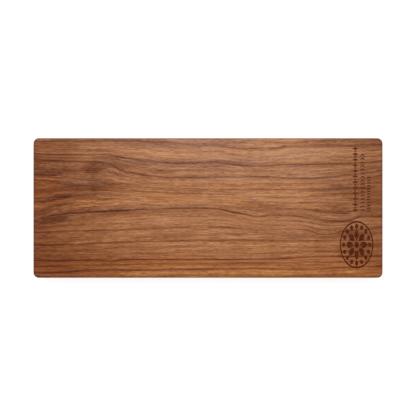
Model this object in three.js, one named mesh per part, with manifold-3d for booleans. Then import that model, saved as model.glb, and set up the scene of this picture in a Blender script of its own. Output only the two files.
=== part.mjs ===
// Wooden wrist rest: a solid walnut board on four self-adhesive rubber feet, with an
// ornament engraved at one end of its top face.
// Millimetres, +Z up. +X runs along the board towards the engraved end, and +Y away from
// the user. The origin is the middle of the footprint, on the desk.

import * as THREE from "three";
import { mergeVertices } from "three/addons/utils/BufferGeometryUtils.js";
import Module from "manifold-3d";

const wasm = await Module();
wasm.setup();

// ---------------------------------------------------------------- driving dimensions

// Board
const boardLength = 200;
const boardDepth = 80;
const boardThickness = 16;
const cornerRadius = 3; // of the four upright corners
const edgeRound = 1.5; // quarter round along every top and bottom edge

// Feet: moulded rubber bumpers, each stuck into a shallow drilled pocket
const footDiameter = 12; // at the adhesive side, the widest
const footHeight = 2.75; // rubber only
const footDraft = 0.4; // the contact side is this much smaller in radius
const footEdgeRound = 0.5; // around the contact face
const gripGrooveDepth = 0.3; // rings moulded into the contact face
const gripGrooveWidth = 0.6;
const gripGrooveRadii = [1.9, 3.7]; // middle of each ring
const footInset = 14; // foot centre from the board's sides and ends
const adhesiveThickness = 0.25;
const adhesiveMargin = 0.25; // the adhesive disc stops this short of the foot's rim
const pocketDepth = 1;
const pocketClearance = 0.35; // radial, around the foot

// Engraved ornament
const engravingDepth = 0.3;
const engravingMargin = 5.5; // medallion to the board's end and front
const medallionWidth = 19; // along X
const medallionHeight = 27; // along Y
const medallionStroke = 0.55; // the ring around it
const medallionCentreRadius = 1.2;
const innerPetals = { count: 8, from: 2, to: 6, halfWidth: 1.25 };
const outerPetals = { count: 16, from: 6.4, to: 8.5, halfWidth: 0.85 };

// Three rows of small marks, which run along +Y from beside the medallion
const rowGap = 5.5; // medallion to the first mark of each row
const rowMargin = 3.7; // last mark to the board's back
const rows = [
  { marks: [lozenge, bead], height: 3.4, width: 1.6, pitch: 1.6, fromEnd: 15.8, most: 24 },
  { marks: [chevron], height: 2.2, width: 1.5, pitch: 2.1, fromEnd: 11.6, most: 16 },
  { marks: [bar], height: 1.8, width: 0.6, pitch: 1.6, fromEnd: 8, most: 13 },
];

// Faceting
const cornerSegments = 6; // per upright corner
const edgeSegments = 4; // per quarter round
const footSegments = 32;
const pocketSegments = 40;

// ---------------------------------------------------------------- worked out from them

const boardBottom = footHeight + adhesiveThickness - pocketDepth;
const boardTop = boardBottom + boardThickness;
const pocketFloor = boardBottom + pocketDepth;
const pocketRadius = footDiameter / 2 + pocketClearance;
const footX = boardLength / 2 - footInset;
const footY = boardDepth / 2 - footInset;

const medallionX = boardLength / 2 - engravingMargin - medallionWidth / 2;
const medallionY = -boardDepth / 2 + engravingMargin + medallionHeight / 2;
const rowStart = medallionY + medallionHeight / 2 + rowGap;
const rowRoom = boardDepth / 2 - rowMargin - rowStart;

// ---------------------------------------------------------------- materials

const walnut = new THREE.MeshStandardMaterial({ color: 0x9a6544, roughness: 0.55, metalness: 0 });
const rubber = new THREE.MeshStandardMaterial({ color: 0x1b1b1c, roughness: 0.85, metalness: 0 });
const adhesive = new THREE.MeshStandardMaterial({ color: 0xd9d6cc, roughness: 0.6, metalness: 0 });

// ---------------------------------------------------------------- helpers

// A closed geometry as a manifold-3d solid.
function solidFrom(geometry) {
  const bare = geometry.clone();
  bare.deleteAttribute("normal");
  bare.deleteAttribute("uv");
  const merged = mergeVertices(bare, 1e-4);
  return new wasm.Manifold(
    new wasm.Mesh({
      numProp: 3,
      vertProperties: new Float32Array(merged.attributes.position.array),
      triVerts: new Uint32Array(merged.index.array),
    }),
  );
}

// A manifold-3d solid as a geometry with flat-shaded faces.
function geometryFrom(solid) {
  const mesh = solid.getMesh();
  const indexed = new THREE.BufferGeometry();
  indexed.setAttribute("position", new THREE.BufferAttribute(mesh.vertProperties, mesh.numProp));
  indexed.setIndex(new THREE.BufferAttribute(mesh.triVerts, 1));
  const flat = indexed.toNonIndexed();
  flat.computeVertexNormals();
  return flat;
}

// A rectangle about the origin with round corners.
function roundedRectangle(length, depth, radius) {
  const x = length / 2 - radius;
  const y = depth / 2 - radius;
  const outline = new THREE.Shape();
  outline.absarc(x, y, radius, 0, Math.PI / 2);
  outline.absarc(-x, y, radius, Math.PI / 2, Math.PI);
  outline.absarc(-x, -y, radius, Math.PI, Math.PI * 1.5);
  outline.absarc(x, -y, radius, Math.PI * 1.5, Math.PI * 2);
  return outline;
}

// An upright cylinder that stands on height z.
function uprightCylinder(radius, height, z, segments) {
  const cylinder = new THREE.CylinderGeometry(radius, radius, height, segments);
  cylinder.rotateX(Math.PI / 2);
  cylinder.translate(0, 0, z + height / 2);
  return cylinder;
}

// ---------------------------------------------------------------- engraved marks
// Each mark is an outline about the origin: height along X and width along Y, as it is
// read from the board's end.

function polygon(points) {
  return new THREE.Shape(points.map(([x, y]) => new THREE.Vector2(x, y)));
}

function lozenge(height, width) {
  return polygon([
    [height / 2, 0],
    [0, width / 2],
    [-height / 2, 0],
    [0, -width / 2],
  ]);
}

function bead(height, width) {
  const outline = new THREE.Shape();
  outline.absarc(0, 0, width * 0.28, 0, Math.PI * 2);
  return outline;
}

function chevron(height, width) {
  const stroke = width * 0.4;
  return polygon([
    [height / 2, -width / 2],
    [height / 2, -width / 2 + stroke],
    [0, width / 2],
    [-height / 2, -width / 2 + stroke],
    [-height / 2, -width / 2],
    [0, width / 2 - stroke],
  ]);
}

function bar(height, width) {
  return polygon([
    [height / 2, -width / 2],
    [height / 2, width / 2],
    [-height / 2, width / 2],
    [-height / 2, -width / 2],
  ]);
}

// An almond between two radii, pointing along +X.
function petal({ from, to, halfWidth }) {
  const middle = (from + to) / 2;
  const outline = new THREE.Shape();
  outline.moveTo(from, 0);
  outline.quadraticCurveTo(middle, -2 * halfWidth, to, 0);
  outline.quadraticCurveTo(middle, 2 * halfWidth, from, 0);
  return outline;
}

function disc(radius) {
  const outline = new THREE.Shape();
  outline.absarc(0, 0, radius, 0, Math.PI * 2);
  return outline;
}

function ring(radius, stroke) {
  const outline = disc(radius);
  outline.holes.push(disc(radius - stroke));
  return outline;
}

// The cutter for one outline: it reaches from the engraving's floor to above the board. Its
// curves take the given number of segments each, and full circles twice that.
function cutter(outline, segments) {
  const above = 1;
  const geometry = new THREE.ExtrudeGeometry(outline, {
    depth: engravingDepth + above,
    bevelEnabled: false,
    curveSegments: segments,
  });
  geometry.translate(0, 0, boardTop - engravingDepth);
  return geometry;
}

function medallionCutters() {
  const stretch = medallionHeight / medallionWidth;
  const cutters = [
    cutter(disc(medallionCentreRadius), 8),
    cutter(ring(medallionWidth / 2, medallionStroke), 28),
  ];
  for (const petals of [innerPetals, outerPetals]) {
    for (let i = 0; i < petals.count; i++) {
      const almond = cutter(petal(petals), 4);
      almond.rotateZ((i / petals.count) * Math.PI * 2);
      cutters.push(almond);
    }
  }
  for (const geometry of cutters) {
    geometry.scale(1, stretch, 1);
    geometry.translate(medallionX, medallionY, 0);
  }
  return cutters;
}

function rowCutters({ marks, height, width, pitch, fromEnd, most }) {
  const count = Math.max(0, Math.min(most, Math.floor((rowRoom - width) / pitch) + 1));
  const cutters = [];
  for (let i = 0; i < count; i++) {
    const mark = marks[i % marks.length];
    const geometry = cutter(mark(height, width), 4);
    geometry.translate(boardLength / 2 - fromEnd, rowStart + width / 2 + i * pitch, 0);
    cutters.push(geometry);
  }
  return cutters;
}

// ---------------------------------------------------------------- the pieces

// The board: one plank with its edges rounded over, a pocket for each foot underneath and
// the ornament in its top.
function boardGeometry() {
  const slab = new THREE.ExtrudeGeometry(roundedRectangle(boardLength, boardDepth, cornerRadius), {
    depth: boardThickness - 2 * edgeRound,
    bevelThickness: edgeRound,
    bevelSize: edgeRound,
    bevelOffset: -edgeRound,
    bevelSegments: edgeSegments,
    curveSegments: cornerSegments,
  });
  slab.translate(0, 0, boardBottom + edgeRound);
  let solid = solidFrom(slab);

  const below = 1; // the pocket's drill starts this far under the board
  for (const { x, y } of footPlaces) {
    const drill = uprightCylinder(pocketRadius, pocketDepth + below, boardBottom - below, pocketSegments);
    drill.translate(x, y, 0);
    solid = solid.subtract(solidFrom(drill));
  }
  for (const geometry of [...medallionCutters(), ...rows.flatMap(rowCutters)]) {
    solid = solid.subtract(solidFrom(geometry));
  }
  return geometryFrom(solid);
}

// A foot: flat on the desk with two grip rings, slightly tapered, flat on its adhesive.
function footGeometry() {
  const contactRadius = footDiameter / 2 - footDraft;
  const profile = [[0, 0]];
  for (const middle of gripGrooveRadii) {
    profile.push([middle - gripGrooveWidth / 2, 0]);
    profile.push([middle - gripGrooveWidth / 2, gripGrooveDepth]);
    profile.push([middle + gripGrooveWidth / 2, gripGrooveDepth]);
    profile.push([middle + gripGrooveWidth / 2, 0]);
  }
  for (const turn of [0, 1 / 3, 2 / 3, 1]) {
    const angle = (turn * Math.PI) / 2;
    profile.push([
      contactRadius - footEdgeRound + footEdgeRound * Math.sin(angle),
      footEdgeRound - footEdgeRound * Math.cos(angle),
    ]);
  }
  profile.push([footDiameter / 2, footHeight]);
  profile.push([0, footHeight]);
  const lathe = new THREE.LatheGeometry(
    profile.map(([r, z]) => new THREE.Vector2(r, z)),
    footSegments,
  );
  lathe.rotateX(Math.PI / 2);
  return lathe;
}

function adhesiveGeometry() {
  return uprightCylinder(footDiameter / 2 - adhesiveMargin, adhesiveThickness, footHeight, footSegments);
}

// ---------------------------------------------------------------- assembly

const footPlaces = [
  { name: "front_left", x: -footX, y: -footY },
  { name: "front_right", x: footX, y: -footY },
  { name: "rear_left", x: -footX, y: footY },
  { name: "rear_right", x: footX, y: footY },
];

function namedMesh(name, geometry, material) {
  const mesh = new THREE.Mesh(geometry, material);
  mesh.name = name;
  return mesh;
}

const wristRest = new THREE.Group();
wristRest.add(namedMesh("board", boardGeometry(), walnut));
for (const { name, x, y } of footPlaces) {
  const corner = new THREE.Group();
  corner.position.set(x, y, 0);
  corner.add(namedMesh(`foot_${name}`, footGeometry(), rubber));
  corner.add(namedMesh(`foot_adhesive_${name}`, adhesiveGeometry(), adhesive));
  wristRest.add(corner);
}

export default wristRest;
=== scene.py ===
"""Looks of the wooden wrist rest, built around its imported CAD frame.

The board becomes one finely rounded mesh with its engraving cut in, each foot a moulded pad
with grip grooves, and each adhesive disc a slightly bulging one. Sizes are in millimetres unless
a name says otherwise, and are turned into Blender's metres where a mesh is made.
"""

import math

import bmesh
import bpy
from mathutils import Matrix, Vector
from mathutils.geometry import delaunay_2d_cdt


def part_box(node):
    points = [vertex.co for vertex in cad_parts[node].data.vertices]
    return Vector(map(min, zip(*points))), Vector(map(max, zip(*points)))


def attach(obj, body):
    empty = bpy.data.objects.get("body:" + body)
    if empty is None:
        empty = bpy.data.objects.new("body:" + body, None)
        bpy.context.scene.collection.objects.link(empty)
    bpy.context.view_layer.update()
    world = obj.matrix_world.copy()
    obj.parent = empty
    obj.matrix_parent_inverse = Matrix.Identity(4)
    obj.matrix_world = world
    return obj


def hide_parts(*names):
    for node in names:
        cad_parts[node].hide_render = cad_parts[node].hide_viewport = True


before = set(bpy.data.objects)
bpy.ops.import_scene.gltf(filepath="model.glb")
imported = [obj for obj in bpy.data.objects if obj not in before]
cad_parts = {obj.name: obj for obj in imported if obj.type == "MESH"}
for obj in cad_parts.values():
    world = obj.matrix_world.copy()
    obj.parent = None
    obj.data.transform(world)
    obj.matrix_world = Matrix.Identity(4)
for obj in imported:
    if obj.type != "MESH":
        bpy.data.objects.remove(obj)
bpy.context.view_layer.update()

MM = 0.001

# ---------------------------------------------------------------- sizes of the board

BOARD_LOW, BOARD_HIGH = [[c / MM for c in corner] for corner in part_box("board")]
BOARD_LENGTH = BOARD_HIGH[0] - BOARD_LOW[0]
BOARD_DEPTH = BOARD_HIGH[1] - BOARD_LOW[1]
BOARD_BOTTOM = BOARD_LOW[2]
BOARD_TOP = BOARD_HIGH[2]

CORNER_RADIUS = 3
CORNER_STEPS = 14  # per upright corner
EDGE_ROUND = 1.5
EDGE_STEPS = 10  # per quarter round
EDGE_LAND = 0.25  # flat strip beside the round, which keeps its shading off the flat face

POCKET_CLEARANCE = 0.35
POCKET_CHAMFER = 0.15
POCKET_FILLET = 0.1  # between wall and floor

# ---------------------------------------------------------------- sizes of the engraving

ENGRAVING_DEPTH = 0.3
ENGRAVING_MARGIN = 5.5  # medallion to the board's end and front
RIM_WIDTH = 0.05  # the burnt lip around each mark
WALL_LEAN = 0.06  # the floor of a mark is this much smaller all round
MEDALLION_WIDTH = 19
MEDALLION_HEIGHT = 27
MEDALLION_STROKE = 0.55
MEDALLION_CENTRE_RADIUS = 1.2
INNER_PETALS = dict(count=8, start=2, end=6, half_width=1.25)
OUTER_PETALS = dict(count=16, start=6.4, end=8.5, half_width=0.85)
ROW_GAP = 5.5  # medallion to the first mark of each row
ROW_PLACES = dict(lozenges=15.8, chevrons=11.6, bars=8)  # from the board's end
ROW_PITCHES = dict(lozenges=1.6, chevrons=2.1, bars=1.6)
ROW_COUNTS = dict(lozenges=23, chevrons=16, bars=13)
BEAD_RADIUS = 0.45

# ---------------------------------------------------------------- sizes of the feet

CORNERS = ("front_left", "front_right", "rear_left", "rear_right")
FOOT_DRAFT = 0.4
FOOT_EDGE_ROUND = 0.5
FOOT_EDGE_STEPS = 8
GRIP_GROOVE_DEPTH = 0.3
GRIP_GROOVE_WIDTH = 0.6
GRIP_GROOVE_RADII = (1.9, 3.7)
GRIP_GROOVE_LIP = 0.08  # rounds each groove's edges and its floor
PARTING_DEPTH = 0.7  # the mould's parting line under the adhesive face
PARTING_HALF_HEIGHT = 0.06
PARTING_FLASH = 0.04  # how proud the line stands
FOOT_TOP_EDGE = [(0.1, 0.12), (0.12, 0.03), (0.2, 0)]  # in from the side, down from the top
ADHESIVE_BULGE = 0.05
ADHESIVE_STEPS = 6
ROUND_STEPS = 96  # around a foot, a disc or a pocket

# ---------------------------------------------------------------- sizes and levels of the stage

VIEW_WIDTH_M = 0.2379  # what the picture's width takes in, at the top face
LENS_MM = 100
SENSOR_MM = 36
FLOOR_HALF_M = 0.9
FLOOR_DROP_M = 0.00005  # keeps the floor clear of the feet's contact faces
FLOOR_GREY = 0.5
FLOOR_GLOW = 0.72
WORLD_STRENGTH = 0.5
KEY_PLACE_M = (-0.1, 0.3, 1.2)
KEY_SIZE_M = 1.4
KEY_POWER_W = 8

# ---------------------------------------------------------------- the wood's figure

# Growth rings where they meet the top face, from the front of the board to its back: the ring's
# number, counted from the middle one, how dark it is, and points (x, y) along it.
RING_LINES = [
    (-13, 0.0, [(-100, -47), (100, -44)]),
    (-10, 0.72, [(-100, -37), (-82, -36.6), (-68, -35.9), (-28, -35.2), (22, -34.7), (53, -35.2),
                (73, -34.3), (100, -33.2)]),
    (-9, 0.6, [(-100, -33.6), (-51, -32.3), (4, -32), (29, -31.5), (100, -30.4)]),
    (-8, 1.0, [(-100, -30.1), (-68, -30), (-55, -30.3), (-48, -29.4), (4, -29.6), (39, -29.2),
                (56, -28.2), (70, -27.8), (100, -27.6)]),
    (-5, 0.68, [(-100, -21.5), (-65, -20.2), (-41, -19.3), (4, -18.6), (53, -18.6), (100, -18.4)]),
    (-3, 0.52, [(-100, -14), (-55, -12.5), (-28, -11.5), (4, -11), (29, -12.4), (52, -12.4),
                (60, -13.6), (67, -15.2), (76, -13.5), (100, -11)]),
    (0, 1.0, [(-100, -7.8), (-93, -5.4), (-84, -3.7), (-68, -2.7), (-48, -1.4), (-7, -0.1),
              (5, -0.6), (13, -2.2), (22, -3.7), (31, -5), (36, -4.3), (47, -4.6), (62, -6.5),
              (76, -7.8), (81, -7.4), (91, -4.8), (100, -4.8)]),
    (2, 0.3, [(-100, 3.2), (-92, 4.2), (-82, 7), (-66, 8), (-30, 6.2), (0, 5), (60, 3), (100, 3)]),
    (4, 0.3, [(-100, 14.6), (-62, 12.8), (-30, 11.6), (50, 10.6), (100, 12)]),
    (6, 0.72, [(-100, 28), (-75, 26.7), (-60, 26.2), (-50, 21.7), (-42, 19.8), (-28, 18),
               (-17, 17.3), (29, 18), (56, 17), (73, 18), (90, 20), (100, 21.8)]),
    (8, 0.75, [(-100, 31), (-86, 30.4), (-62, 30.7), (-52, 29.6), (-37, 27.5), (-26, 26.2),
               (-8, 25.9), (3, 26.4), (12, 25.1), (29, 23.9), (43, 24.9), (83, 25.6), (100, 26.8)]),
    (11, 0.55, [(-100, 37.8), (-48, 38.4), (-31, 37.9), (-7, 36.2), (9, 35.2), (19, 34.2),
                (36, 33.9), (46, 35.2), (77, 35.5), (100, 36.2)]),
    (13, 0.0, [(-100, 45), (100, 45)]),
]
RING_WIDTH = 3.5  # across the rings, for those that the top face doesn't cut
RING_RISE = 0.36  # share of a ring over which its late wood darkens
RING_FALL = 0.2  # share of the next ring over which it ends
PLAIN_RING = (0.08, 0.28)  # least and most darkness of the rings that aren't listed
PLAIN_USUAL = 0.15  # what a listed ring's own darkness already holds of it
PITH_Y = -70  # the tree's centre, in front of the board
PITH_DEPTH = 60  # and under its top face

# Dark (or, below zero, pale) streaks and stains in the top face: x, y, half length along X,
# half width along Y, and how many levels of tone they take off.
STREAKS = [
    # the knot at the left and what runs into it
    (-98.5, 27, 3, 6, 13),
    (-88, 30, 15, 1.2, 13),
    (-88, 26.6, 10, 1.4, 8),
    (-82, 29, 11, 1.2, 14),
    (-86, 21.2, 14, 1.8, 20),
    (-95, 22.8, 6, 1, 18),
    (-95, 19, 8, 0.7, 46),
    (-86, 19.4, 7, 0.6, 14),
    (-90, 20.4, 8, 0.8, 12),
    (-95, 17, 7, 1.4, 10),
    (-65.5, 23.6, 7, 3.4, 26),
    (-58.6, 28.8, 10, 1.6, 25),
    (-64.5, 15, 4, 8, 12),
    (-46, 25.6, 13, 3.8, 18),
    (-76, 12.4, 9, 0.7, 20),
    (-52, 18.8, 10, 1, 8),
    (-34, 20.6, 13, 1.6, 14),
    (-68, 16.6, 9, 1.4, 10),
    (-55, 13, 5, 1, 18),
    (-84, 6.7, 7, 1.6, 22),
    (-74, 5.4, 20, 1, 18),
    (-92, 3.8, 10, 1, 24),
    (-91, 1.8, 8, 0.8, 16),
    (-87, -1, 7, 0.8, 14),
    (-70, 12, 24, 9, 8),
    # along the middle ring
    (-97, -3.8, 8, 2, 14),
    (-97, -7.8, 6, 1.2, 22),
    (-87, -6.2, 8, 2.4, 40),
    (-56, -2, 15, 1.7, 26),
    (-58, -4, 15, 0.8, 14),
    (-46, -3, 34, 1.3, 12),
    (3, -0.8, 15, 1, 14),
    (12, -2.2, 8, 0.8, 8),
    (12, -4, 12, 0.8, 13),
    (-21, -1.2, 12, 0.8, 13),
    (32, 0.8, 15, 1.6, 11),
    (46, -1.6, 26, 2, 9),
    (50, 3, 9, 1.1, 12),
    (71, -0.4, 18, 3, 24),
    (76, -2, 7, 3.4, 24),
    (48, -7, 10, 1, 13),
    (63, -8.8, 12, 1.4, 13),
    # the right end
    (86, 37.6, 32, 3, 31),
    (75, 19, 11, 1.1, 13),
    (54, 33.8, 20, 1, 11),
    (78, 10.6, 18, 2.6, 25),
    (76, 11.8, 7, 1.2, 10),
    (98, 9.5, 7, 2, 12),
    (94, 2, 12, 22, 12),
    (90, -18, 12, 12, 6),
    (70, -12.8, 16, 2, 18),
    (73, -15.2, 11, 1.2, 14),
    (80, -13, 4, 1.4, 10),
    (70, -24.6, 10, 1.4, 13),
    (82, -20, 11, 13, 12),
    (67, -20, 7, 4, 9),
    (60, -16.8, 17, 1.2, 13),
    # the front
    (3, -11.7, 17, 0.9, 16),
    (31, -14.9, 26, 0.5, 9),
    (48, -15.6, 12, 2, 8),
    (-92, -21.2, 12, 0.7, 14),
    (-84, -36.9, 16, 0.6, 14),
    (-58, -35, 13, 0.9, 14),
    (-78, -36, 36, 8, 10),
    (-83, -34.4, 12, 1.4, 9),
    (-82, -26.6, 28, 3, 13),
    (-68, -28.8, 36, 1.6, 12),
    (-30, -27.8, 14, 2.2, 12),
    (-25, -30, 17, 1.6, 12),
    (-8, -27.4, 11, 1.2, 11),
    (0, -26.4, 14, 1.6, 7),
    (-6, -24, 12, 0.9, 13),
    (12, -29, 22, 1.2, 10),
    (10, -27.2, 12, 0.8, 10),
    (28.6, -27.6, 14, 1.1, 17),
    (-41, -20.4, 15, 0.8, 14),
    (54, -39, 40, 0.8, 14),
    (48, -39.4, 16, 0.8, 20),
    # the back
    (9, 25.4, 16, 1.7, 20),
    (23, 27.4, 12, 1, 13),
    (-8, 24, 13, 0.9, 14),
    (-12, 17.6, 24, 1.2, 8),
    (-73, 38.9, 10, 1, 8),
    (-40, 38.6, 26, 1.6, 14),
    (-12, 36.4, 22, 1.6, 12),
    # paler wood
    (-60.6, 36.2, 15, 1.8, -20),
    (-45, 35, 12, 1, -14),
    (43, 39.2, 18, 0.9, -10),
    (-36, 32.6, 17, 2.2, -11),
    (-22, 29.8, 22, 1.2, -14),
    (-15, 32.6, 11, 1.4, -12),
    (28.6, 35.6, 13, 1.5, -26),
    (60, 31.8, 32, 2, -13),
    (18, 31.2, 24, 0.7, -9),
    (30, 29.6, 12, 1.2, -8),
    (54, 28, 30, 2.2, -15),
    (60, 25.6, 9, 1, -10),
    (50, 20, 34, 2.6, -13),
    (-79, 20.4, 9, 1.2, -9),
    (-79, 14.2, 7, 0.9, -8),
    (-43, 9, 22, 4, -11),
    (-72, 8.2, 7, 1.2, -12),
    (-60, 3, 19, 2.2, -24),
    (-29, 4.2, 8, 1, -12),
    (8, 11.6, 14, 2, -11),
    (-15, 4, 30, 2.2, -8),
    (30, 6.2, 46, 2.8, -18),
    (37, 7.4, 12, 0.9, -10),
    (40, 15, 12, 1, -14),
    (8, 2, 8, 1.4, -10),
    (-63, -9, 8, 1.5, -14),
    (-42, -7, 24, 2, -16),
    (14, -8.8, 11, 1.6, -17),
    (76, -6.6, 16, 1.2, -9),
    (90, -7.4, 14, 3.2, -20),
    (92, -12, 7, 1.4, -13),
    (95, -3.4, 6, 1.2, -13),
    (-66, -19, 13, 2.4, -14),
    (-69, -23, 10, 0.9, -13),
    (-16, -17.6, 11, 1, -8),
    (4, -14.8, 13, 0.8, -17),
    (-38, -15.1, 10, 1, -8),
    (28, -16.2, 18, 1.2, -19),
    (17, -21.8, 11, 1, -18),
    (44, -21.4, 36, 0.9, -7),
    (46, -31.4, 13, 1.1, -22),
    (80, -32, 9, 1.4, -9),
    (89, -35, 14, 1.5, -18),
    (55, -36.4, 36, 1.6, -12),
    (31.4, -35.6, 15, 1.4, -18),
    (-48, -37, 12, 1.2, -14),
    (-26, -37, 24, 1.2, -15),
]

# How cool the wood is: levels that blue rises and red falls by, below zero where the wood is more
# orange. First by place across the board, then in patches like the streaks above.
COOL_ACROSS = [(-40, -17), (-31, -14), (-22, -7), (0, -5), (14, -4), (22, 1), (30, -2), (40, 1)]
COOL_PATCHES = [
    (-10, 37, 48, 3, 12),
    (5, 25, 24, 3, 9),
    (-32, 27, 24, 3, 7),
    (-58, 26, 9, 7, 5),
    (-67, 14, 18, 4, 7),
    (4, 17.4, 26, 1.6, 8),
    (62, 17.4, 16, 1.6, 8),
    (-95, 12, 13, 7, -15),
    (-94, 19.4, 8, 1.6, 12),
    (-87, -6, 12, 3, 12),
    (-55, -1.6, 20, 1.4, 12),
    (76, 11.6, 10, 2, 8),
    (-25, 4.7, 17, 2.4, -9),
    (16, 4.3, 12, 2.4, -9),
    (-70, 3.5, 26, 2.2, -6),
    (-50, -33, 60, 2.6, -8),
    (-85, -33, 30, 5, -7),
]
COOL_RANGE = 20  # levels of warmth or coolness that multiply the colour by these
WARMEST = (1.13, 1, 0.62, 1)
COOLEST = (0.87, 1, 1.42, 1)

# Tone across the board, as the green level from 0 to 255 of the bare wood in daylight.
TONE_ALONG = [(-100, 78), (-60, 99), (-30, 112), (0, 117), (40, 117), (100, 95)]
TONE_ACROSS = [(-40, -8), (-25, -6), (-12, 0), (22, 1), (33, 11), (40, 9)]

# The grain's noises: how long their marks are along the fibres and how wide and deep across
# them, how many finer layers each has, and how strong those are.
CLOUDS = ((26, 11, 11), 2, 0.5)
BANDS = ((130, 4, 4), 3, 0.65)
STRANDS = ((42, 1.5, 1.5), 2, 0.65)
FIBRES = ((11, 0.6, 0.6), 2, 0.6)
FINE = ((3.2, 0.3, 0.3), 1, 0.6)
THREADS = ((24, 0.5, 0.5), 1, 0.5)
PORES = ((3.2, 0.17, 0.17), 1, 0.5)
TINTS = ((60, 1.6, 1.6), 2, 0.6)

# How many levels of tone each part of the figure adds where it is strong, or, below zero, takes
# off, and how many levels cooler it makes the wood. The edges' entry is painted shade along the
# rounded edges, and the oil that really darkens the end grain; purple_rings are the growth rings
# by how purple they are.
LEVELS = dict(
    clouds=2.5,
    bands=6,
    strands=7,
    fibres=7.5,
    fine=7.5,
    threads=-14,
    pores=-14,
    rings=-44,
    streaks=-1,
    edge_shade_and_oil=-32,
)
COOL_LEVELS = dict(
    tints=2.5,
    bands=-1.2,
    strands=-1.2,
    fibres=-1.2,
    fine=-1,
    purple_rings=24,
    streaks=0.2,
    edge_shade_and_oil=-19.2,
)
EDGE_SHADE_WIDTH = 0.9  # how far in from the outline the painted shade of the rounded edge reaches
END_GRAIN_CONTRAST = 0.35  # what is left of the fibres where the ends cut across them

# The wood's colours from its darkest to its palest, each at its own green level.
WOOD_COLOURS = [
    (76, 26, 0),
    (100, 43, 7),
    (117, 61, 23),
    (139, 82, 46),
    (153, 97, 60),
    (166, 109, 73),
    (182, 125, 87),
    (201, 151, 116),
]


def linear(colour):
    """An sRGB colour of three levels from 0 to 255, as the linear RGBA that shaders take."""
    shares = [level / 255 for level in colour]
    return [s / 12.92 if s <= 0.04045 else ((s + 0.055) / 1.055) ** 2.4 for s in shares] + [1]


# ---------------------------------------------------------------- shader arithmetic


NOISE_GAIN = 12  # brings Blender's noise, which keeps close to 0.5, to a spread of about 1


class Field:
    """A number that varies over a surface, which + - * and / combine with others."""

    def __init__(self, graph, socket):
        self.graph = graph
        self.socket = socket

    def __add__(self, other):
        return self.graph.math("ADD", self, other)

    def __sub__(self, other):
        return self.graph.math("SUBTRACT", self, other)

    def __rsub__(self, other):
        return self.graph.math("SUBTRACT", other, self)

    def __mul__(self, other):
        return self.graph.math("MULTIPLY", self, other)

    def __truediv__(self, other):
        return self.graph.math("DIVIDE", self, other)

    def __abs__(self):
        return self.graph.math("ABSOLUTE", self)

    __radd__ = __add__
    __rmul__ = __mul__


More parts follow.
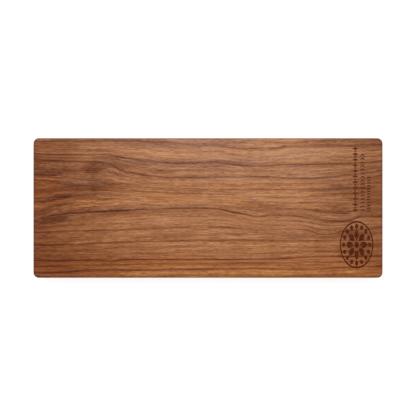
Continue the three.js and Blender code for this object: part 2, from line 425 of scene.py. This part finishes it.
class Graph:
    """One material's nodes. position is the surface point in millimetres, in the row's frame."""

    def __init__(self, name):
        self.material = bpy.data.materials.new(name)
        self.material.use_nodes = True
        self.tree = self.material.node_tree
        self.shader = self.tree.nodes["Principled BSDF"]
        place = self.node("ShaderNodeTexCoord").outputs["Object"]
        in_mm = self.node("ShaderNodeVectorMath", operation="SCALE")
        self.tree.links.new(place, in_mm.inputs[0])
        in_mm.inputs["Scale"].default_value = 1 / MM
        split = self.node("ShaderNodeSeparateXYZ")
        self.tree.links.new(in_mm.outputs[0], split.inputs[0])
        self.position = [Field(self, split.outputs[i]) for i in range(3)]

    def node(self, kind, **settings):
        made = self.tree.nodes.new(kind)
        for name, value in settings.items():
            setattr(made, name, value)
        return made

    def put(self, value, socket):
        """Links a field to a socket, or sets a plain number or colour on it."""
        if isinstance(value, Field):
            self.tree.links.new(value.socket, socket)
        else:
            socket.default_value = value

    def math(self, operation, *values):
        made = self.node("ShaderNodeMath", operation=operation)
        for value, socket in zip(values, made.inputs):
            self.put(value, socket)
        return Field(self, made.outputs[0])

    def ramp(self, value, low, high, start=0.0, end=1.0, smooth=True):
        """start below low and end above high, with a smooth or straight change between."""
        kind = "SMOOTHSTEP" if smooth else "LINEAR"
        made = self.node("ShaderNodeMapRange", interpolation_type=kind, clamp=True)
        names = ("Value", "From Min", "From Max", "To Min", "To Max")
        for name, setting in zip(names, (value, low, high, start, end)):
            self.put(setting, made.inputs[name])
        return Field(self, made.outputs["Result"])

    def curve(self, value, points):
        """A smooth curve through points (value, result), level before the first and after the last."""
        values = [p[0] for p in points]
        results = [p[1] for p in points]
        low, high = min(results), max(results)
        span = (high - low) or 1
        made = self.node("ShaderNodeFloatCurve")
        line = made.mapping.curves[0]
        while len(line.points) < len(points):
            line.points.new(0.5, 0.5)
        for knot, v, r in zip(line.points, values, results):
            knot.location = ((v - values[0]) / (values[-1] - values[0]), (r - low) / span)
            knot.handle_type = "AUTO_CLAMPED"
        made.mapping.update()
        self.put(self.ramp(value, values[0], values[-1], smooth=False), made.inputs["Value"])
        return Field(self, made.outputs[0]) * span + low

    def vector(self, values):
        made = self.node("ShaderNodeCombineXYZ")
        for value, socket in zip(values, made.inputs):
            self.put(value, socket)
        return Field(self, made.outputs[0])

    def distance_squared(self, place, centre, half_sizes):
        """How far a point lies from a centre, squared, where half a size counts as 1."""
        scaled = self.node("ShaderNodeVectorMath", operation="MULTIPLY_ADD")
        self.put(place, scaled.inputs[0])
        scaled.inputs[1].default_value = [1 / size for size in half_sizes]
        scaled.inputs[2].default_value = [-middle / size for middle, size in zip(centre, half_sizes)]
        made = self.node("ShaderNodeVectorMath", operation="DOT_PRODUCT")
        for socket in made.inputs[:2]:
            self.tree.links.new(scaled.outputs["Vector"], socket)
        return Field(self, made.outputs["Value"])

    def noise(self, place, sizes, detail=2.0, roughness=0.5):
        """Noise about 0 with a spread of about 1, whose spots have the three given sizes."""
        scaled = [place[axis] * (1 / sizes[axis]) for axis in range(3)]
        made = self.node("ShaderNodeTexNoise")
        self.put(self.vector(scaled), made.inputs["Vector"])
        for name, setting in (("Scale", 1.0), ("Detail", detail), ("Roughness", roughness)):
            made.inputs[name].default_value = setting
        return (Field(self, made.outputs["Fac"]) - 0.5) * NOISE_GAIN

    def random(self, value):
        """A random number from 0 to 1 for each whole value."""
        made = self.node("ShaderNodeTexWhiteNoise", noise_dimensions="1D")
        self.put(value, made.inputs["W"])
        return Field(self, made.outputs["Value"])

    def colours(self, value, stops):
        """A colour ramp through stops (place from 0 to 1, sRGB levels)."""
        made = self.node("ShaderNodeValToRGB")
        elements = made.color_ramp.elements
        while len(elements) < len(stops):
            elements.new(0.5)
        for element, (place, colour) in zip(elements, stops):
            element.position = place
            element.color = linear(colour)
        self.put(value, made.inputs["Fac"])
        return Field(self, made.outputs["Color"])

    def mix(self, share, first, second, blend="MIX"):
        made = self.node("ShaderNodeMix", data_type="RGBA", blend_type=blend)
        self.put(share, made.inputs[0])
        self.put(first, made.inputs[6])
        self.put(second, made.inputs[7])
        return Field(self, made.outputs[2])

    def bump(self, height):
        """Relief from a height in millimetres."""
        made = self.node("ShaderNodeBump")
        made.inputs["Distance"].default_value = MM
        self.put(height, made.inputs["Height"])
        self.tree.links.new(made.outputs["Normal"], self.shader.inputs["Normal"])

    def finish(self, colour, roughness, specular):
        self.put(colour, self.shader.inputs["Base Color"])
        self.put(roughness, self.shader.inputs["Roughness"])
        self.shader.inputs["Specular IOR Level"].default_value = specular
        return self.material


# ---------------------------------------------------------------- wood


def rings_across(g, x, y):
    """Growth rings between the middle one and this point of the top face: below zero in front."""
    total = RING_LINES[0][0]
    edge = g.curve(x, RING_LINES[0][2])
    for (number, _, _), (further, _, points) in zip(RING_LINES, RING_LINES[1:]):
        next_edge = g.curve(x, points)
        total = g.ramp(y, edge, next_edge, 0, further - number, smooth=False) + total
        edge = next_edge
    return total


def ring_tone(g, place, across):
    """How dark the growth rings make the wood, from 0 to about 1, and how purple, which is less in
    front of the middle one. The rings are arcs around the pith, so they lean through the board."""
    x, y, z = place
    wobble = g.noise((x, across * RING_WIDTH, z), (22, 4, 4), 3, 0.6) * 0.04
    aside = y - PITH_Y
    up = z - (BOARD_TOP - PITH_DEPTH)
    radius = g.math("SQRT", aside * aside + up * up)
    radius_at_top = g.math("SQRT", aside * aside + PITH_DEPTH**2)
    number = across + (radius - radius_at_top) / RING_WIDTH
    count = abs(number) + wobble
    nearest = g.math("ROUND", count)
    beyond = count - nearest
    line = g.math("SIGN", number) * nearest
    faintest, strongest = PLAIN_RING
    strength = g.random(line + 40) * (strongest - faintest) + faintest
    for listed, darkness, _ in RING_LINES:
        if darkness:
            strength = strength + g.math("COMPARE", line, listed, 0.5) * (darkness - PLAIN_USUAL)
    patches = g.noise((x, line * 9, z), (24, 3, 9), 2, 0.6)
    strength = strength * g.ramp(patches, -1.6, 1.6, 0.65, 1.35)
    rise = g.ramp(beyond, -RING_RISE, 0)
    fall = g.ramp(beyond, 0, RING_FALL, 1, 0)
    tone = strength * rise * rise * fall
    haze = g.ramp(abs(beyond), 0.5, 0, 0, 0.08)
    return tone + haze, tone * g.ramp(line, -2, 0, 0.4, 1)


def patch_levels(g, place, patches):
    """What ragged patches of the top face add up to, each a centre, half sizes and levels. They
    fade out between 2 and 7 mm under it."""
    x, y, z = place
    bent = y + g.noise(place, (14, 4, 4), 2) * 0.25
    ragged = g.noise(place, (9, 0.8, 0.8), 3) * 0.2
    joined = g.vector((x, bent, 0))
    core = 0 - ragged
    rim = 1.5 - ragged
    total = 0
    for centre_x, centre_y, half_length, half_width, levels in patches:
        away = g.distance_squared(joined, (centre_x, centre_y, 0), (half_length, half_width, 1))
        total = g.ramp(away, core, rim, levels, 0) + total
    return total * g.ramp(z, BOARD_TOP - 7, BOARD_TOP - 2)


def oiled_ends_and_edge_shade(g, place):
    """How dark the board's outline is made, from 0 to 1: painted shade along the round of the top
    edge and the upper edge of the long sides, and oil that darkens the end grain all over."""
    x, y, z = place
    past_x = g.math("MAXIMUM", abs(x) - (BOARD_LENGTH / 2 - CORNER_RADIUS), 0)
    past_y = g.math("MAXIMUM", abs(y) - (BOARD_DEPTH / 2 - CORNER_RADIUS), 0)
    inset = CORNER_RADIUS - g.math("SQRT", past_x * past_x + past_y * past_y)
    # a band of painted shade over the rounded top edge, which takes in the sides too; the end grain's
    # darkness is oil
    on_rim = g.ramp(inset, EDGE_SHADE_WIDTH, 0.1, 0, 1)
    on_end = g.ramp(abs(x), BOARD_LENGTH / 2 - 1, BOARD_LENGTH / 2 - 0.1)
    upper = g.ramp(z, BOARD_TOP - 4, BOARD_TOP - 1, 0.3, 1)
    return on_rim * g.math("MAXIMUM", on_end, upper)


def weighted(parts, levels):
    """The sum of the parts that levels names, each times its number of levels."""
    total = 0
    for name, count in levels.items():
        total = parts[name] * count + total
    return total


def wood_colour(g, level):
    """The wood's colour at a level of tone."""
    darkest, palest = WOOD_COLOURS[0][1], WOOD_COLOURS[-1][1]
    stops = [((c[1] - darkest) / (palest - darkest), c) for c in WOOD_COLOURS]
    return g.colours((level - darkest) / (palest - darkest), stops)


def walnut_material():
    """Oiled walnut: growth rings, stains, long fibres and open pores."""
    g = Graph("walnut_oiled")
    place = g.position
    x, y, z = place
    across = rings_across(g, x, y)
    grain = (x, across * RING_WIDTH, z)  # along it, the fibres follow the growth rings
    cut_across = g.ramp(abs(x), BOARD_LENGTH / 2 - 2.5, BOARD_LENGTH / 2 - 0.5, 1, END_GRAIN_CONTRAST)
    strands = g.noise(grain, *STRANDS)
    fibres = g.noise(grain, *FIBRES) * cut_across
    fine = g.noise(grain, *FINE) * cut_across
    pores = g.ramp(g.noise(grain, *PORES), 1.3, 2.3)
    rings, purple_rings = ring_tone(g, place, across)
    parts = dict(
        clouds=g.noise(place, *CLOUDS),
        tints=g.noise(grain, *TINTS),
        bands=g.noise(grain, *BANDS),
        strands=strands,
        fibres=fibres,
        fine=fine,
        threads=g.ramp(g.noise(grain, *THREADS), 0.8, 2.2) * cut_across,
        pores=pores,
        rings=rings * (1 + strands * 0.15 + fibres * 0.15),
        purple_rings=purple_rings,
        streaks=patch_levels(g, place, STREAKS) * (1 + fibres * 0.15),
        # painted shade along the rounded edges, and real oil darkening the end grain
        edge_shade_and_oil=oiled_ends_and_edge_shade(g, place),
    )
    level = g.curve(x, TONE_ALONG) + g.curve(y, TONE_ACROSS) + weighted(parts, LEVELS)
    cool = g.curve(y, COOL_ACROSS) + patch_levels(g, place, COOL_PATCHES)
    cool = cool + weighted(parts, COOL_LEVELS)
    tint = g.mix(g.ramp(cool, -COOL_RANGE, COOL_RANGE, smooth=False), WARMEST, COOLEST)
    colour = g.mix(1.0, wood_colour(g, level), tint, "MULTIPLY")
    g.bump(fibres * 0.0012 + fine * 0.001 - pores * 0.03)
    return g.finish(colour, 0.52 + fibres * 0.015 + pores * 0.2, specular=0.16)


def burnt_material(name, dark, pale):
    """Wood charred by a laser, with the fine lines that its passes leave."""
    g = Graph(name)
    x, y, z = g.position
    passes = g.noise((x, y, z), (1.6, 0.11, 0.4), 2, 0.5)
    soot = g.noise((x, y, z), (0.9, 0.5, 0.4), 3, 0.6)
    share = g.ramp(passes + soot, -2, 2.4)
    colour = g.colours(share, [(0, dark), (1, pale)])
    g.bump(passes * 0.008 + soot * 0.006)
    return g.finish(colour, 0.75 + soot * 0.03, specular=0.06)


def rubber_material():
    """Black moulded rubber with a fine mould grain and a little dust."""
    g = Graph("rubber_moulded")
    place = g.position
    grain = g.noise(place, (0.09, 0.09, 0.09), 2, 0.6)
    dust = g.ramp(g.noise(place, (1.3, 1.3, 0.6), 4, 0.65), 0.5, 2.6)
    colour = g.colours(dust * 0.5 + grain * 0.02, [(0, (24, 24, 25)), (1, (70, 68, 65))])
    g.bump(grain * 0.004)
    return g.finish(colour, 0.82 + grain * 0.02, specular=0.35)


def adhesive_material():
    """Milky acrylic adhesive, with small bubbles under its surface."""
    g = Graph("adhesive_acrylic")
    place = g.position
    cloud = g.noise(place, (2.2, 2.2, 0.3), 3, 0.6)
    bubbles = g.ramp(g.noise(place, (0.22, 0.22, 0.22), 1), 1.4, 2.2)
    share = 0.5 + cloud * 0.1 - bubbles * 0.3
    colour = g.colours(share, [(0, (196, 190, 172)), (1, (226, 222, 210))])
    g.bump(bubbles * 0.01)
    return g.finish(colour, 0.42 + cloud * 0.02, specular=0.5)


# ---------------------------------------------------------------- outlines


def rounded_rectangle(inset):
    """The board's outline as seen from above, counter-clockwise, moved in by inset."""
    radius = CORNER_RADIUS - inset
    x = BOARD_LENGTH / 2 - CORNER_RADIUS
    y = BOARD_DEPTH / 2 - CORNER_RADIUS
    points = []
    for turn, (corner_x, corner_y) in enumerate([(x, y), (-x, y), (-x, -y), (x, -y)]):
        for step in range(CORNER_STEPS + 1):
            angle = (turn + step / CORNER_STEPS) * math.pi / 2
            points.append((corner_x + radius * math.cos(angle), corner_y + radius * math.sin(angle)))
    return points


def circle(radius, steps, x=0.0, y=0.0):
    angles = [2 * math.pi * step / steps for step in range(steps)]
    return [(x + radius * math.cos(a), y + radius * math.sin(a)) for a in angles]


def lozenge():
    return [(1.7, 0), (0, 0.8), (-1.7, 0), (0, -0.8)]


def chevron():
    return [(1.1, -0.75), (1.1, -0.15), (0, 0.75), (-1.1, -0.15), (-1.1, -0.75), (0, 0.15)]


def bar():
    return [(0.9, -0.3), (0.9, 0.3), (-0.9, 0.3), (-0.9, -0.3)]


def petal(start, end, half_width, steps=10):
    """An almond between two radii, pointing along +X, counter-clockwise."""
    points = []
    for side in (-1, 1):
        for step in range(steps):
            share = step / steps if side < 0 else 1 - step / steps
            x = start + (end - start) * share
            points.append((x, side * 4 * half_width * share * (1 - share)))
    return points


def moved(points, x, y):
    return [(px + x, py + y) for px, py in points]


def turned(points, angle):
    c, s = math.cos(angle), math.sin(angle)
    return [(c * x - s * y, s * x + c * y) for x, y in points]


def grown(points, distance):
    """A counter-clockwise outline with every side moved outwards by distance."""
    result = []
    count = len(points)
    for i in range(count):
        before, here, after = (Vector(points[(i + k) % count]) for k in (-1, 0, 1))
        first = (here - before).normalized()
        second = (after - here).normalized()
        normals = Vector((first.y, -first.x)), Vector((second.y, -second.x))
        shift = (normals[0] + normals[1]) / (1 + normals[0].dot(normals[1]))
        result.append(tuple(here + shift * distance))
    return result


# ---------------------------------------------------------------- engraving


def medallion_marks():
    """Outlines of the medallion's filled marks, and of the outer and inner side of its ring."""
    centre_x = BOARD_LENGTH / 2 - ENGRAVING_MARGIN - MEDALLION_WIDTH / 2
    centre_y = -BOARD_DEPTH / 2 + ENGRAVING_MARGIN + MEDALLION_HEIGHT / 2
    stretch = MEDALLION_HEIGHT / MEDALLION_WIDTH

    def placed(points):
        return moved([(x, y * stretch) for x, y in points], centre_x, centre_y)

    filled = [placed(circle(MEDALLION_CENTRE_RADIUS, 32))]
    for petals in (INNER_PETALS, OUTER_PETALS):
        shape = petal(petals["start"], petals["end"], petals["half_width"])
        for i in range(petals["count"]):
            filled.append(placed(turned(shape, 2 * math.pi * i / petals["count"])))
    outside = placed(circle(MEDALLION_WIDTH / 2, 128))
    inside = placed(circle(MEDALLION_WIDTH / 2 - MEDALLION_STROKE, 128))
    return filled, outside, inside


def row_marks():
    """Outlines of the three rows of small marks, whose shapes take turns along a row."""
    shapes = dict(lozenges=[lozenge(), circle(BEAD_RADIUS, 20)], chevrons=[chevron()], bars=[bar()])
    start = -BOARD_DEPTH / 2 + ENGRAVING_MARGIN + MEDALLION_HEIGHT + ROW_GAP
    outlines = []
    for row, turns in shapes.items():
        half_width = max(y for _, y in turns[0])
        for i in range(ROW_COUNTS[row]):
            x = BOARD_LENGTH / 2 - ROW_PLACES[row]
            y = start + half_width + i * ROW_PITCHES[row]
            outlines.append(moved(turns[i % len(turns)], x, y))
    return outlines


# ---------------------------------------------------------------- meshes

WOOD, BURNT, SCORCHED = range(3)  # the board's material slots


def ring_of_vertices(mesh, outline, z):
    return [mesh.verts.new((x * MM, y * MM, z * MM)) for x, y in outline]


class Cap:
    """A flat face of the board with closed outlines drawn on it, cut into triangles.
    Each outline says how high its points lie and which material the faces just inside it take,
    or None where there are none."""

    def __init__(self, mesh):
        self.mesh = mesh
        self.points = []
        self.vertices = []
        self.loops = []
        self.materials = []

    def add(self, outline, z, material, vertices=None):
        first = len(self.points)
        self.points += [Vector(p) for p in outline]
        self.vertices += vertices or ring_of_vertices(self.mesh, outline, z)
        self.loops.append(list(range(first, len(self.points))))
        self.materials.append(material)
        return self.vertices[first:]

    def area(self, loop):
        points = [self.points[i] for i in self.loops[loop]]
        return abs(sum(a.cross(b) for a, b in zip(points, points[1:] + points[:1]))) / 2

    def fill(self, upwards):
        inside_loops = 1
        tolerance = 1e-5
        _, _, faces, sources, _, owners = delaunay_2d_cdt(
            self.points, [], self.loops, inside_loops, tolerance
        )
        areas = [self.area(loop) for loop in range(len(self.loops))]
        for face, holders in zip(faces, owners):
            material = self.materials[min(holders, key=lambda loop: areas[loop])]
            if material is None:
                continue
            corners = [self.vertices[sources[i][0]] for i in face]
            made = self.mesh.faces.new(corners if upwards else corners[::-1])
            made.material_index = material


def bridge(mesh, first, second, material=WOOD):
    """Quads between two closed loops of vertices with the same count."""
    count = len(first)
    for i in range(count):
        j = (i + 1) % count
        made = mesh.faces.new((first[i], first[j], second[j], second[i]))
        made.material_index = material
        made.smooth = True


def finished_object(name, mesh, materials, replaced):
    data = bpy.data.meshes.new(name)
    mesh.to_mesh(data)
    mesh.free()
    made = bpy.data.objects.new(name, data)
    bpy.context.scene.collection.objects.link(made)
    for material in materials:
        data.materials.append(material)
    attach(made, "root")
    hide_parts(replaced)
    return made


def engrave(cap, outline, material):
    """A sunk mark: a burnt lip, a leaning wall and a floor."""
    cap.add(grown(outline, RIM_WIDTH), BOARD_TOP, material)
    cap.add(outline, BOARD_TOP - RIM_WIDTH, material)
    cap.add(grown(outline, -WALL_LEAN), BOARD_TOP - ENGRAVING_DEPTH, material)


def engrave_ring(cap, outside, inside, material):
    """A sunk ring around an island of untouched wood."""
    engrave(cap, outside, material)
    cap.add(grown(inside, WALL_LEAN), BOARD_TOP - ENGRAVING_DEPTH, material)
    cap.add(inside, BOARD_TOP - RIM_WIDTH, material)
    cap.add(grown(inside, -RIM_WIDTH), BOARD_TOP, WOOD)


def quarter_round(radius, steps):
    """(inset from the side, distance from the face) from where a face's round starts to its end."""
    angles = [step / steps * math.pi / 2 for step in range(steps + 1)]
    return [(radius * (1 - math.sin(a)), radius * (1 - math.cos(a))) for a in angles]


def edge_profile():
    """(inset, height) from the top face's flat, round the side to the bottom face's flat."""
    half = [(EDGE_ROUND + EDGE_LAND, 0)] + quarter_round(EDGE_ROUND, EDGE_STEPS)
    top = [(inset, BOARD_TOP - drop) for inset, drop in half]
    bottom = [(inset, BOARD_BOTTOM + drop) for inset, drop in half]
    return top + bottom[::-1]


def foot_box(corner):
    """A foot's centre (x, y), radius and top."""
    low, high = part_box("foot_" + corner)
    centre = [(a + b) / 2 / MM for a, b in zip(low, high)]
    return centre[0], centre[1], (high[0] - low[0]) / 2 / MM, high[2] / MM


def build_board(wood, burnt, scorched):
    mesh = bmesh.new()
    loops = []
    for inset, z in edge_profile():
        outline = rounded_rectangle(inset)
        loops.append((outline, ring_of_vertices(mesh, outline, z)))
    for (_, upper), (_, lower) in zip(loops, loops[1:]):
        bridge(mesh, lower, upper)

    top = Cap(mesh)
    top.add(loops[0][0], BOARD_TOP, WOOD, loops[0][1])
    filled, outside, inside = medallion_marks()
    engrave_ring(top, outside, inside, BURNT)
    for outline in filled:
        engrave(top, outline, BURNT)
    for outline in row_marks():
        engrave(top, outline, SCORCHED)
    top.fill(upwards=True)

    bottom = Cap(mesh)
    bottom.add(loops[-1][0], BOARD_BOTTOM, WOOD, loops[-1][1])
    for corner in CORNERS:
        x, y, foot_radius, _ = foot_box(corner)
        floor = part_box("foot_adhesive_" + corner)[1][2] / MM
        radius = foot_radius + POCKET_CLEARANCE
        mouth = circle(radius + POCKET_CHAMFER, ROUND_STEPS, x, y)
        rim = bottom.add(mouth, BOARD_BOTTOM, None)
        wall = [(radius, BOARD_BOTTOM + POCKET_CHAMFER), (radius, floor - POCKET_FILLET)]
        for ring_radius, z in wall + [(radius - POCKET_FILLET, floor)]:
            ring = ring_of_vertices(mesh, circle(ring_radius, ROUND_STEPS, x, y), z)
            bridge(mesh, ring, rim)
            rim = ring
        mesh.faces.new(rim[::-1])
    bottom.fill(upwards=False)
    mesh.normal_update()
    return finished_object("board_walnut", mesh, [wood, burnt, scorched], "board")


def lathe(name, profile, x, y, material, replaced):
    """A solid of revolution about an upright axis from (radius, height) points: the first and
    the last lie on the axis."""
    mesh = bmesh.new()
    ends = [mesh.verts.new((x * MM, y * MM, z * MM)) for _, z in (profile[0], profile[-1])]
    rings = [ring_of_vertices(mesh, circle(r, ROUND_STEPS, x, y), z) for r, z in profile[1:-1]]
    for lower, upper in zip(rings, rings[1:]):
        bridge(mesh, lower, upper)
    for i in range(ROUND_STEPS):
        j = (i + 1) % ROUND_STEPS
        mesh.faces.new((ends[0], rings[0][j], rings[0][i]))
        mesh.faces.new((ends[1], rings[-1][i], rings[-1][j]))
    made = finished_object(name, mesh, [material], replaced)
    made.data.set_sharp_from_angle(angle=math.radians(50))
    return made


def foot_profile(radius, top):
    """From the middle of the contact face, over its grip grooves, up the tapered side to the
    adhesive face."""
    contact = radius - FOOT_DRAFT
    points = [(0, 0)]
    lip = GRIP_GROOVE_LIP
    for middle in GRIP_GROOVE_RADII:
        for side in (-1, 1):
            edge = middle + side * GRIP_GROOVE_WIDTH / 2
            wall = [(edge + side * lip, 0), (edge + side * lip * 0.3, lip * 0.3), (edge, lip)]
            floor = [(edge, GRIP_GROOVE_DEPTH - lip), (edge - side * lip, GRIP_GROOVE_DEPTH)]
            points += (wall + floor) if side < 0 else (wall + floor)[::-1]
    points += [(contact - inset, z) for inset, z in quarter_round(FOOT_EDGE_ROUND, FOOT_EDGE_STEPS)]
    parting = top - PARTING_DEPTH
    side = contact + FOOT_DRAFT * parting / top
    points += [(side, parting - PARTING_HALF_HEIGHT), (side + PARTING_FLASH, parting)]
    points += [(side, parting + PARTING_HALF_HEIGHT)]
    points += [(radius - inset, top - drop) for inset, drop in FOOT_TOP_EDGE]
    return points + [(0, top)]


def adhesive_profile(radius, low, high):
    """A thin disc whose cut edge bulges a little."""
    points = [(0, low)]
    for step in range(ADHESIVE_STEPS + 1):
        share = step / ADHESIVE_STEPS
        inset = ADHESIVE_BULGE * (1 - math.sin(share * math.pi))
        points.append((radius - inset, low + (high - low) * share))
    return points + [(0, high)]


def build_feet(rubber, adhesive):
    for corner in CORNERS:
        x, y, radius, top = foot_box(corner)
        node = "foot_" + corner
        lathe(node + "_rubber", foot_profile(radius, top), x, y, rubber, node)
        node = "foot_adhesive_" + corner
        low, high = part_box(node)
        profile = adhesive_profile((high[0] - low[0]) / 2 / MM, low[2] / MM, high[2] / MM)
        lathe(node + "_disc", profile, x, y, adhesive, node)


# ---------------------------------------------------------------- floor, light and camera


def seen_directly(tree):
    """1 for what the camera sees, by itself, in a reflection or through glass."""
    path = tree.nodes.new("ShaderNodeLightPath")
    total = path.outputs["Is Camera Ray"]
    for kind in ("Is Glossy Ray", "Is Transmission Ray"):
        added = tree.nodes.new("ShaderNodeMath")
        added.operation = "MAXIMUM"
        tree.links.new(total, added.inputs[0])
        tree.links.new(path.outputs[kind], added.inputs[1])
        total = added.outputs[0]
    return total


def build_floor():
    """White to the camera, but grey to the light, so that it keeps the object's shadow."""
    half = FLOOR_HALF_M
    data = bpy.data.meshes.new("floor")
    corners = [(-half, -half, 0), (half, -half, 0), (half, half, 0), (-half, half, 0)]
    data.from_pydata(corners, [], [(0, 1, 2, 3)])
    floor = bpy.data.objects.new("floor", data)
    floor.location.z = -FLOOR_DROP_M
    bpy.context.scene.collection.objects.link(floor)
    material = bpy.data.materials.new("floor_white")
    material.use_nodes = True
    tree = material.node_tree
    shader = tree.nodes["Principled BSDF"]
    shader.inputs["Base Color"].default_value = (FLOOR_GREY, FLOOR_GREY, FLOOR_GREY, 1)
    shader.inputs["Roughness"].default_value = 1
    shader.inputs["Specular IOR Level"].default_value = 0
    glow = tree.nodes.new("ShaderNodeMath")
    glow.operation = "MULTIPLY"
    tree.links.new(seen_directly(tree), glow.inputs[0])
    glow.inputs[1].default_value = FLOOR_GLOW
    shader.inputs["Emission Color"].default_value = (1, 1, 1, 1)
    tree.links.new(glow.outputs[0], shader.inputs["Emission Strength"])
    data.materials.append(material)


def build_world(strength):
    """Soft light all round, and plain white where it is seen directly."""
    world = bpy.data.worlds.new("studio")
    bpy.context.scene.world = world
    world.use_nodes = True
    tree = world.node_tree
    background = tree.nodes["Background"]
    background.inputs["Color"].default_value = (1, 1, 1, 1)
    level = tree.nodes.new("ShaderNodeMapRange")
    level.inputs["To Min"].default_value = strength
    level.inputs["To Max"].default_value = 1
    tree.links.new(seen_directly(tree), level.inputs["Value"])
    tree.links.new(level.outputs["Result"], background.inputs["Strength"])


def build_lamp(name, location, size, power):
    """A round soft lamp that faces the origin."""
    data = bpy.data.lights.new(name, "AREA")
    data.shape = "DISK"
    data.size = size
    data.energy = power
    lamp = bpy.data.objects.new(name, data)
    lamp.location = location
    lamp.rotation_euler = (-Vector(location)).to_track_quat("-Z", "Y").to_euler()
    bpy.context.scene.collection.objects.link(lamp)


def build_camera():
    """Straight above the board, like the view it is compared with."""
    data = bpy.data.cameras.new("camera")
    data.lens = LENS_MM
    data.sensor_width = SENSOR_MM
    camera = bpy.data.objects.new("camera", data)
    camera.location.z = BOARD_TOP * MM + VIEW_WIDTH_M * LENS_MM / SENSOR_MM
    bpy.context.scene.collection.objects.link(camera)
    bpy.context.scene.camera = camera


# ---------------------------------------------------------------- the scene

build_board(
    walnut_material(),
    burnt_material("walnut_burnt", (52, 16, 6), (124, 56, 26)),
    burnt_material("walnut_scorched", (88, 42, 22), (126, 68, 38)),
)
build_feet(rubber_material(), adhesive_material())
build_floor()
build_world(WORLD_STRENGTH)
build_lamp("key", KEY_PLACE_M, KEY_SIZE_M, KEY_POWER_W)
build_camera()
bpy.context.scene.view_settings.view_transform = "Standard"
